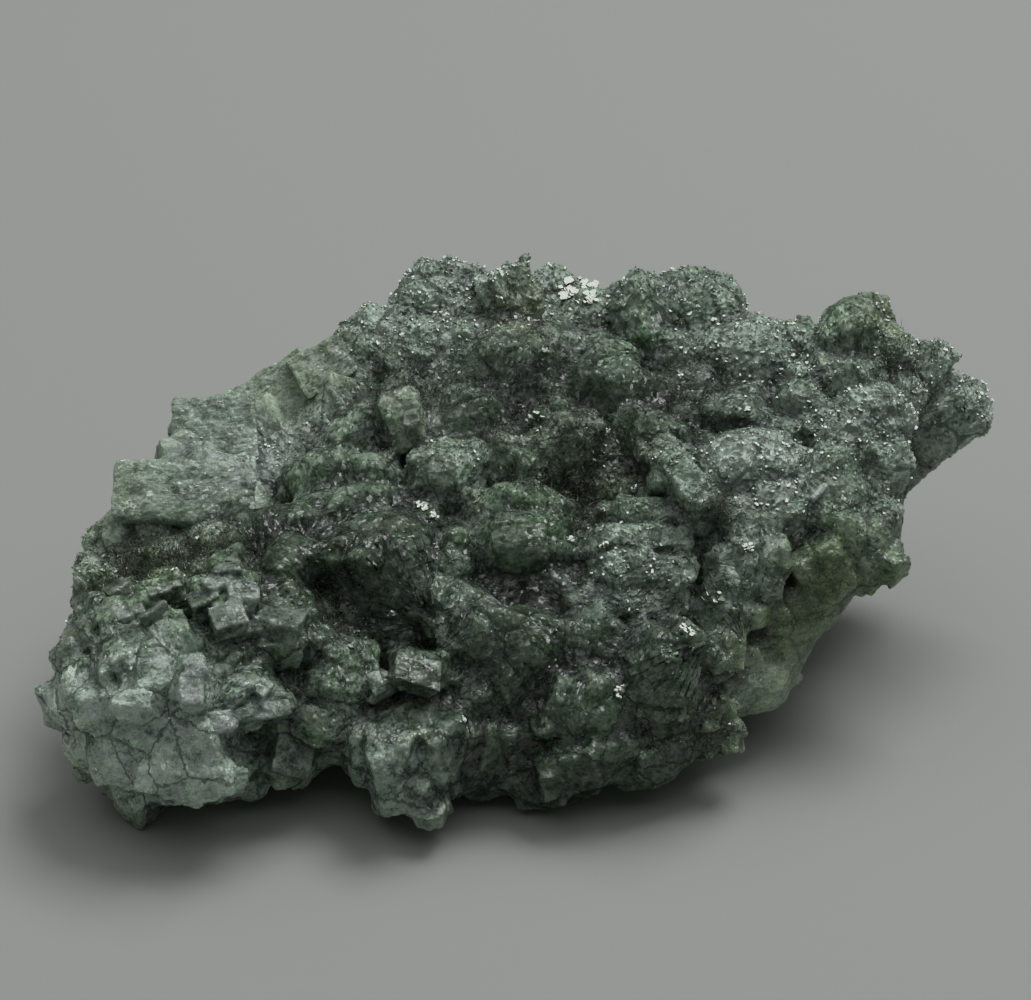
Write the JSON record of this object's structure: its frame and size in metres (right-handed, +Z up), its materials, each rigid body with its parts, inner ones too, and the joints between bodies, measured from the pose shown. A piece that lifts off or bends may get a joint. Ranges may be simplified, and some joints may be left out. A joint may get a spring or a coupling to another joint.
{
  "type": "mineral specimen",
  "caption": "Prehnite cluster: intergrown grey-green tabular crystals, fans and blocky lumps in one mass that rests on its broken underside.",
  "frame": {"origin": "middle of the bottom of the bounding box, on the surface that the cluster rests on", "axes": "+X along the longest side, from the rounded pale end to the overhanging end; +Y from the front that the picture shows to the back; +Z up"},
  "size_m": [0.0864, 0.0548, 0.0347],
  "materials": {
    "prehnite": "rough, with glassy crystal faces"
  },
  "bodies": {
    "root": {"prehnite_cluster": "prehnite"}
  },
  "joints": []
}
